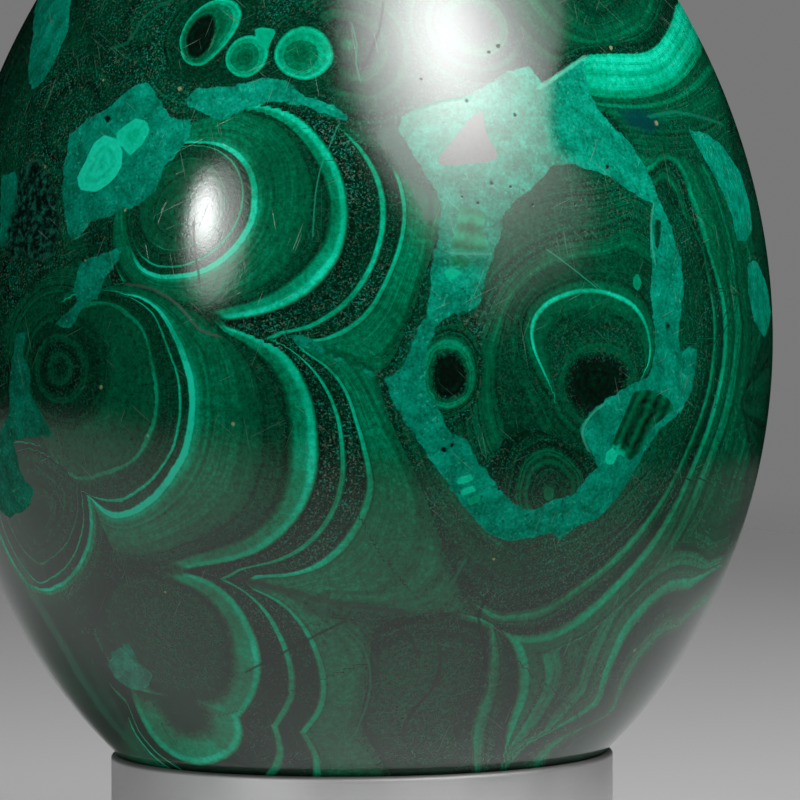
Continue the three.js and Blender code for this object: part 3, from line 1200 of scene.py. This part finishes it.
def fragments(sheet, ragged, grain):
    """Where pieces of banded stone are caught in the filling, and their colour."""
    distance, tint, stripe = sheet.split(sheet.attribute("fragment"))
    caught = 1 - sheet.smooth(distance + ragged * 0.05, -0.06, 0.03)
    bars = (stripe * (2 * math.pi) + ragged).math("SINE") * 0.10
    shells = (distance * 11 + ragged).math("SINE") * 0.05
    rim = sheet.smooth(distance, -0.4, -0.1) * 0.12
    colour = sheet.ramp(tint + bars + shells + rim + grain * 0.4, MALACHITE_SCALE)
    # Bare pale rock, painted a little lighter as a painted highlight of the main light's haze.
    bare = sheet.mix(sheet.smooth(grain + ragged * 0.3, -0.2, 0.2), *HAZE_LIT_BARE_ROCK)
    return caught, sheet.mix(tint > BARE_LEVEL, colour, bare)


def spots(sheet, place, ragged, traced):
    """1 within small round spots traced on the photo, 0 elsewhere."""
    nearest = None
    for x, y, radius in traced:
        middle = tuple(EGG.seen([(x, y)])[0])
        away = sheet.vector("DISTANCE", place, middle, output=1) * (PIXELS_PER_MM / radius)
        nearest = away if nearest is None else nearest.math("MINIMUM", away)
    return sheet.smooth(nearest + ragged, 0.3, 0.85, 1.0, 0.0)


def scratches_on(sheet, place):
    """Fine scratches in a few directions, in patches."""
    scratches = None
    for angle in (0.45, 1.2, 1.75, 2.4):
        turned = sheet.wire(
            "ShaderNodeVectorRotate", {"rotation_type": "Y_AXIS"}, {"Vector": place, "Angle": angle},
        )
        stretched = sheet.vector("MULTIPLY", turned, (0.25, 0.4, 9.0))
        moved = sheet.vector("ADD", stretched, (angle * 9, 0, 0))
        streak = sheet.smooth(sheet.noise(moved, 1.0, 1.0), 0.73, 0.77)
        scratches = streak if scratches is None else scratches.math("MAXIMUM", streak)
    return scratches * sheet.smooth(sheet.noise(place, 0.25, 1.0), 0.38, 0.55)


def malachite(settings):
    """Banded malachite with blue-green filling, polished."""
    material = bpy.data.materials.new("malachite")
    sheet = blank_sheet(material)
    place = sheet.vector("SCALE", sheet.place(), Scale=1 / MM)
    x, _, z = sheet.split(place)
    ragged = (sheet.noise(place, 2.2, 3.0) - 0.5) * 2
    uneven = (sheet.noise(place, 0.8, 3.0) - 0.5) * 0.5
    grain = sheet.noise(place, 4.0, 3.0, 0.8) - 0.5
    # Low down, towards the left, dust and scratches hardly show.
    clear = sheet.smooth(z, 16.0, 30.0).math("MAXIMUM", sheet.smooth(x, 4.5, 8.0))
    level, colour = banded_stone(sheet, place, ragged, grain, clear, settings.wobble)

    filled, hazed, hollowed = sheet.split(sheet.attribute("zones"))
    filling = 1 - sheet.smooth(filled + ragged * 0.2 + uneven, -0.05, 0.05)
    colour = sheet.mix(filling, colour, filling_colour(sheet, place))
    caught, caught_colour = fragments(sheet, ragged, grain)
    colour = sheet.mix(caught, colour, caught_colour)

    blue = 1 - sheet.smooth(sheet.attribute("blue_spot", "Fac") + ragged * 0.3, -0.35, 0.25)
    colour = sheet.mix(blue * 0.8, colour, BLUE_STONE)

    side, past, tone = sheet.split(sheet.attribute("stroke"))
    stroke = 1 - sheet.smooth((side + ragged * 0.5).math("ABSOLUTE"), 0.35, 1.1)
    stroke = stroke * (1 - sheet.smooth(past, 0.0, 0.5))
    colour = sheet.mix(stroke * (0.75 - tone * 0.35), colour, sheet.ramp(tone, STROKE_SCALE))

    # Small pits, dented and rough, painted dark as painted shade in them.
    pits = spots(sheet, place, ragged, PITS)
    colour = sheet.mix(pits, colour, PIT_SHADE)
    glints = spots(sheet, place, ragged, GLINTS)
    colour = sheet.mix(glints * 0.6, colour, GLINT_PALE)

    # A rough hollow, painted nearly black as painted shade inside it, with small crystals in it.
    hollow = 1 - sheet.smooth(hollowed + ragged * 0.5 + uneven, -0.3, 0.3)
    crystal = sheet.smooth(sheet.noise(place, 2.4, 4.0, 0.7), 0.44, 0.68)
    colour = sheet.mix(hollow, colour, sheet.mix(crystal, HOLLOW_SHADE, HOLLOW_CRYSTAL))

    scratches = scratches_on(sheet, place)
    colour = sheet.mix(scratches * (0.10 + clear * 0.18), colour, SCRATCH_PALE)

    # The stone is glossy, but dull in the filling and less shiny where it is bright. A haze spreads the
    # light over part of it, and ends most sharply high up at the right.
    crisp = 0.5 + sheet.smooth(x, 3.0, 7.0) * sheet.smooth(z, 45.5, 48.5) * 0.5
    hazy = 1 - sheet.smooth((hazed + ragged * 0.3 + uneven) * crisp, -0.8, 1.0)
    polish = settings.polish + (sheet.noise(place, 1.2) - 0.5) * 0.06 + scratches * 0.05
    roughness = sheet.mix(hazy, polish, settings.haze, "FLOAT") + (pits + hollow + stroke * 0.3) * 0.4
    height = grain * 0.12 - pits * 0.8 - scratches * 0.05 - hollow * crystal
    normal = sheet.wire("ShaderNodeBump", {}, {"Strength": 0.35, "Distance": 0.0001, "Height": height})
    glossy = sheet.wire("ShaderNodeBsdfPrincipled", {}, {
        "Base Color": colour, "Roughness": roughness, "IOR": settings.refraction, "Normal": normal,
        "Coat Weight": hazy * settings.coat * (1 - sheet.smooth(x, 4.5, 8.5) * 0.30),
        "Coat Roughness": settings.haze, "Coat IOR": 1.7,
    })
    matte = sheet.wire("ShaderNodeBsdfPrincipled", {}, {
        "Base Color": colour, "Roughness": 0.55, "IOR": 1.08, "Normal": normal,
    })
    dull = (filling * sheet.smooth(z, 16.0, 26.0)).math("MAXIMUM", sheet.smooth(level, 0.3, 0.8) * 0.4)
    dull = (dull * (1 - hazy) * 0.92).math("MAXIMUM", hollow)
    shader = sheet.wire("ShaderNodeMixShader", {}, {0: dull, 1: glossy, 2: matte})
    sheet.node("ShaderNodeOutputMaterial", {}, {"Surface": shader})
    return material


def satin_metal(settings):
    """Turned grey metal with fine rings of the lathe and soft smudges."""
    material = bpy.data.materials.new("ring_metal")
    sheet = blank_sheet(material)
    place = sheet.vector("SCALE", sheet.place(), Scale=1 / MM)
    brushed = sheet.noise(sheet.vector("MULTIPLY", place, (0.15, 0.15, 14.0)), 1.0, 3.0) - 0.5
    smudge = sheet.noise(place, 0.25, 3.0) - 0.5
    smudged = [share * 0.82 for share in settings.colour]
    colour = sheet.mix(0.5 + smudge * 0.6, smudged, settings.colour)
    # The rim is painted darker, as painted shade under the stone that overhangs it, and is rougher there.
    top = RING_HIGH[2] / MM
    shaded_rim = sheet.smooth(sheet.split(place)[2], top - 0.30, top - 0.05)
    colour = sheet.mix(shaded_rim * 0.7, colour, RIM_SHADE_METAL)
    roughness = settings.roughness + brushed * 0.10 + smudge * 0.12 + shaded_rim * 0.2
    normal = sheet.wire("ShaderNodeBump", {}, {"Strength": 0.15, "Distance": 0.00002, "Height": brushed})
    shader = sheet.wire("ShaderNodeBsdfPrincipled", {}, {
        "Base Color": colour, "Roughness": roughness, "Metallic": 0.85, "Normal": normal,
    })
    sheet.node("ShaderNodeOutputMaterial", {}, {"Surface": shader})
    return material


def floor_finish(settings):
    """A plain pale floor that fades into the backdrop away from the egg, and sooner at the right: a painted
    pool of light, with painted shade at the right.
    """
    material = bpy.data.materials.new("floor")
    sheet = blank_sheet(material)
    across, along, _ = sheet.split(sheet.place())
    # Painted shade: the floor fades out sooner at the right.
    right_shade = sheet.smooth(across, 0.045, 0.08) * 0.8
    across = (across + 0.06) * 1.1
    along = (along - 0.10).math("MINIMUM", (along - 0.10) * 0.45)
    # The fading is a painted pool of light round the egg.
    far = sheet.smooth((across * across + along * along).math("SQRT"), 0.12, 0.23).math("MAXIMUM", right_shade)
    pale = sheet.wire("ShaderNodeBsdfPrincipled", {}, {"Base Color": settings.floor_colour, "Roughness": 0.6})
    clear = sheet.wire("ShaderNodeBsdfTransparent")
    shader = sheet.wire("ShaderNodeMixShader", {}, {0: far, 1: pale, 2: clear})
    sheet.node("ShaderNodeOutputMaterial", {}, {"Surface": shader})
    return material


def egg_tree():
    """Geometry nodes that round a cube into the egg, with its points crowded towards the front."""
    tree = bpy.data.node_groups.new("Egg Shape", "GeometryNodeTree")
    tree.interface.new_socket("Geometry", in_out="OUTPUT", socket_type="NodeSocketGeometry")
    for name in ("Half Height", "Scale", "Middle", "Taper", "Fullness", "Crowding"):
        tree.interface.new_socket(name, in_out="INPUT", socket_type="NodeSocketFloat")
    tree.interface.new_socket("Rows", in_out="INPUT", socket_type="NodeSocketInt")
    tree.interface.new_socket("Material", in_out="INPUT", socket_type="NodeSocketMaterial")
    sheet = Sheet(tree)
    given = sheet.node("NodeGroupInput")
    half_height, scale, middle, taper, fullness, crowding, rows, material = [
        Wire(sheet, output) for output in list(given.outputs)[:8]
    ]
    cube = sheet.wire("GeometryNodeMeshCube", {}, {
        "Size": (2, 2, 2), "Vertices X": rows, "Vertices Y": rows, "Vertices Z": rows,
    })
    # Tangents spread the cube's grid evenly over a sphere.
    corner = sheet.vector("SCALE", sheet.wire("GeometryNodeInputPosition"), Scale=math.pi / 4)
    ball = sheet.vector("NORMALIZE", sheet.vector("TANGENT", corner))
    x, y, z = sheet.split(ball)
    # Every point slides towards the front pole, at -Y, and the grid gets finer there.
    turn = (y * -1).math("ARCCOSINE")
    slid = turn - crowding * turn.math("SINE")
    spread = slid.math("SINE") / turn.math("SINE").math("MAXIMUM", 1e-6)
    level = z * spread
    width = scale * (1 + taper * level + fullness * level * level)
    place = sheet.combine(x * spread * width, slid.math("COSINE") * -1 * width, middle + half_height * level)
    moved = sheet.wire("GeometryNodeSetPosition", {}, {"Geometry": cube, "Position": place})
    real = sheet.wire("GeometryNodeRealizeInstances", {}, {"Geometry": moved})
    dressed = sheet.wire("GeometryNodeSetMaterial", {}, {"Geometry": real, "Material": material})
    sheet.node("NodeGroupOutput", {}, {"Geometry": dressed})
    return tree


def grown(name, tree, values):
    """The mesh that a tree makes with these inputs, as a plain object."""
    mesh = bpy.data.meshes.new(name)
    piece = bpy.data.objects.new(name, mesh)
    bpy.context.scene.collection.objects.link(piece)
    modifier = piece.modifiers.new(name, "NODES")
    modifier.node_group = tree
    for item in tree.interface.items_tree:
        if item.in_out == "INPUT":
            modifier[item.identifier] = values[item.name]
    shape = bpy.data.meshes.new_from_object(piece.evaluated_get(bpy.context.evaluated_depsgraph_get()))
    piece.modifiers.remove(modifier)
    piece.data = shape
    shape.name = name
    shape.polygons.foreach_set("use_smooth", [True] * len(shape.polygons))
    return piece


def ring_profile(settings):
    """The ring's section in metres, (radius, height), from its foot round the outside to the bore."""
    outer = RING_HIGH[0]
    top = RING_HIGH[2]
    bore = settings.bore / 2
    edge = 0.5 * MM
    rim = 0.27 * MM
    edge_parts, rim_parts, seat_parts = 5, 12, 9
    points = [(bore + edge, 0.0), (outer - edge, 0.0)]
    for i in range(1, edge_parts + 1):
        turn = math.pi / 2 * i / edge_parts
        points.append((outer - edge + edge * math.sin(turn), edge - edge * math.cos(turn)))
    # The rim rounds over until it lies along the stone.
    for i in range(rim_parts + 1):
        turn = math.pi * 0.75 * i / rim_parts
        points.append((outer - rim + rim * math.cos(turn), top - rim + rim * math.sin(turn)))
    seat = points[-1][0]
    for i in range(1, seat_parts + 1):
        radius = seat + (bore - seat) * i / seat_parts
        points.append((radius, seat_height(radius)))
    points.append((bore, edge))
    return points


def seat_height(radius):
    """Height of the ring's hollowed seat, which follows the stone just below it."""
    clearance = 0.05 * MM
    levels = np.linspace(-1, -0.3, 2000)
    level = np.interp(radius / MM, EGG.radius(levels), levels)
    return (EGG.middle + EGG.half_height * level) * MM - clearance


class StoneSettings(bpy.types.PropertyGroup):
    rows: bpy.props.IntProperty(
        name="Rows", description="Points along each edge of the cube that becomes the egg",
        default=129, min=20, max=129,
    )
    crowding: bpy.props.FloatProperty(
        name="Crowding", description="How much finer the mesh is at the front than at the back",
        default=0.45, subtype="FACTOR",
    )
    wobble: bpy.props.FloatProperty(
        name="Wobble", description="How unsteady the bands are", default=1.0, subtype="FACTOR",
    )
    refraction: bpy.props.FloatProperty(
        name="Refraction", description="Refractive index of the polished stone", default=1.68, min=1.0,
    )
    polish: bpy.props.FloatProperty(
        name="Polish", description="Roughness of the polished stone", default=0.10, subtype="FACTOR",
    )
    haze: bpy.props.FloatProperty(
        name="Haze", description="Roughness where the polish is hazy", default=0.38, subtype="FACTOR",
    )
    coat: bpy.props.FloatProperty(
        name="Haze strength", description="How much the haze adds", default=0.6, subtype="FACTOR",
    )


class RingSettings(bpy.types.PropertyGroup):
    bore: bpy.props.FloatProperty(
        name="Bore", description="Inside diameter of the ring", default=0.0248, unit="LENGTH",
    )
    colour: bpy.props.FloatVectorProperty(
        name="Metal", description="Colour of the ring", default=(0.92, 0.92, 0.925), subtype="COLOR",
    )
    roughness: bpy.props.FloatProperty(
        name="Roughness", description="How satin the metal is", default=0.50, subtype="FACTOR",
    )


class StageSettings(bpy.types.PropertyGroup):
    floor_colour: bpy.props.FloatVectorProperty(
        name="Floor", description="Colour of the floor", default=(0.58, 0.58, 0.58), subtype="COLOR",
    )
    backdrop: bpy.props.FloatVectorProperty(
        name="Backdrop", description="Colour seen behind the object", default=(0.19, 0.19, 0.19),
        subtype="COLOR",
    )
    key_power: bpy.props.FloatProperty(
        name="Key light", description="Power of the main light", default=20.0, unit="POWER",
    )
    side_power: bpy.props.FloatProperty(
        name="Side light", description="Power of the narrow light at the left", default=0.39, unit="POWER",
    )
    window_power: bpy.props.FloatProperty(
        name="Window", description="Power of the dim light round the side light", default=0.42, unit="POWER",
    )
    back_power: bpy.props.FloatProperty(
        name="Back light", description="Power of the dim light behind the object", default=0.35, unit="POWER",
    )


class EGG_OT_stone(bpy.types.Operator):
    """Make the malachite egg"""

    bl_idname = "malachite.stone"
    bl_label = "Malachite Egg"

    def execute(self, context):
        settings = context.scene.egg_stone
        values = {
            "Half Height": EGG.half_height * MM, "Scale": EGG.scale * MM, "Middle": EGG.middle * MM,
            "Taper": EGG.taper, "Fullness": EGG.fullness, "Crowding": settings.crowding,
            "Rows": settings.rows, "Material": malachite(settings),
        }
        piece = grown("malachite_egg", egg_tree(), values)
        paint_egg(piece.data)
        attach(piece, "root")
        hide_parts("egg")
        return {"FINISHED"}


class EGG_OT_ring(bpy.types.Operator):
    """Make the metal ring that the egg stands in"""

    bl_idname = "malachite.ring"
    bl_label = "Ring Stand"

    def execute(self, context):
        settings = context.scene.egg_ring
        form = bmesh.new()
        profile = [form.verts.new((radius, 0, height)) for radius, height in ring_profile(settings)]
        edges = [form.edges.new((a, b)) for a, b in zip(profile, profile[1:] + profile[:1])]
        bmesh.ops.spin(
            form, geom=profile + edges, cent=(0, 0, 0), axis=(0, 0, 1), angle=2 * math.pi, steps=240,
            use_merge=True,
        )
        bmesh.ops.remove_doubles(form, verts=form.verts, dist=1e-7)
        bmesh.ops.recalc_face_normals(form, faces=form.faces)
        mesh = bpy.data.meshes.new("metal_ring")
        form.to_mesh(mesh)
        form.free()
        mesh.polygons.foreach_set("use_smooth", [True] * len(mesh.polygons))
        mesh.set_sharp_from_angle(angle=math.radians(35))
        mesh.materials.append(satin_metal(settings))
        piece = bpy.data.objects.new("metal_ring", mesh)
        context.scene.collection.objects.link(piece)
        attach(piece, "root")
        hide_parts("ring_stand")
        return {"FINISHED"}


def softbox(name, place, height, size, power, fade, turn=0.0):
    """An oval area light, brightest in its middle, facing a height on the axis, that no camera sees."""
    data = bpy.data.lights.new(name, "AREA")
    data.shape = "ELLIPSE"
    data.size, data.size_y = size
    data.energy = power
    sheet = blank_sheet(data)
    across = sheet.wire("ShaderNodeNewGeometry", {}, {}, "Parametric")
    spot = sheet.vector("SUBTRACT", across, (0.5, 0.5, 0.0))
    off = sheet.vector("LENGTH", sheet.vector("MULTIPLY", spot, (2, 2, 0)), output=1)
    strength = (off * -fade).math("EXPONENT") * (1 - sheet.smooth(off, 0.75, 1.0))
    glow = sheet.wire("ShaderNodeEmission", {}, {"Strength": strength})
    sheet.node("ShaderNodeOutputLight", {}, {"Surface": glow})
    light = bpy.data.objects.new(name, data)
    light.location = place
    gaze = (Vector((0, 0, height)) - Vector(place)).to_track_quat("-Z", "Y").to_matrix()
    light.rotation_euler = (gaze @ Matrix.Rotation(turn, 3, "Z")).to_euler()
    light.visible_camera = False
    bpy.context.scene.collection.objects.link(light)


class EGG_OT_stage(bpy.types.Operator):
    """Make the floor, the lights and the camera"""

    bl_idname = "malachite.stage"
    bl_label = "Studio Stage"

    def execute(self, context):
        settings = context.scene.egg_stage
        scene = context.scene
        form = bmesh.new()
        bmesh.ops.create_circle(form, cap_ends=True, segments=96, radius=1.5)
        mesh = bpy.data.meshes.new("floor")
        form.to_mesh(mesh)
        form.free()
        mesh.materials.append(floor_finish(settings))
        floor = bpy.data.objects.new("floor", mesh)
        scene.collection.objects.link(floor)

        softbox("key", (0.164, -0.218, 0.364), 0.045, (0.42, 0.46), settings.key_power, 3.6)
        softbox("side", (-0.240, -0.253, 0.170), 0.044, (0.062, 0.092), settings.side_power, 2.0, 0.2)
        softbox("window", (-0.228, -0.276, 0.154), 0.044, (0.125, 0.175), settings.window_power, 1.5)
        softbox("back", (0.02, 0.40, 0.34), 0.03, (0.35, 0.35), settings.back_power, 1.0)
        # The backdrop is only seen, and gives hardly any light.
        scene.world = bpy.data.worlds.new("studio")
        sheet = blank_sheet(scene.world)
        seen = sheet.wire("ShaderNodeLightPath", {}, {}, "Is Camera Ray")
        shader = sheet.wire("ShaderNodeBackground", {}, {
            "Color": sheet.mix(seen, (0.001, 0.001, 0.001), settings.backdrop),
        })
        sheet.node("ShaderNodeOutputWorld", {}, {"Surface": shader})

        camera = bpy.data.objects.new("camera", bpy.data.cameras.new("camera"))
        scene.collection.objects.link(camera)
        camera.data.sensor_width = SENSOR
        camera.data.lens = LENS
        camera.data.clip_start = 0.01
        camera.matrix_world = Matrix.Translation(EYE) @ camera_turn().to_4x4()
        scene.camera = camera
        scene.view_settings.view_transform = "Standard"
        return {"FINISHED"}


class EGG_PT_parts(bpy.types.Panel):
    bl_label = "Malachite Egg"
    bl_idname = "EGG_PT_parts"
    bl_space_type = "VIEW_3D"
    bl_region_type = "UI"
    bl_category = "Egg"

    def draw(self, context):
        for settings, operator in PARTS.items():
            group = getattr(context.scene, settings)
            box = self.layout.box()
            for name in group.bl_rna.properties.keys():
                if name not in ("rna_type", "name"):
                    box.prop(group, name)
            box.operator(operator)


PARTS = {"egg_stage": "malachite.stage", "egg_stone": "malachite.stone", "egg_ring": "malachite.ring"}
GROUPS = {"egg_stage": StageSettings, "egg_stone": StoneSettings, "egg_ring": RingSettings}
CLASSES = (StoneSettings, RingSettings, StageSettings, EGG_OT_stone, EGG_OT_ring, EGG_OT_stage, EGG_PT_parts)


def register():
    for item in CLASSES:
        bpy.utils.register_class(item)
    for name, group in GROUPS.items():
        setattr(bpy.types.Scene, name, bpy.props.PointerProperty(type=group))


def unregister():
    for name in GROUPS:
        delattr(bpy.types.Scene, name)
    for item in reversed(CLASSES):
        bpy.utils.unregister_class(item)


def main():
    register()
    bpy.ops.malachite.stage()
    bpy.ops.malachite.stone()
    bpy.ops.malachite.ring()


if __name__ == "__main__":
    main()
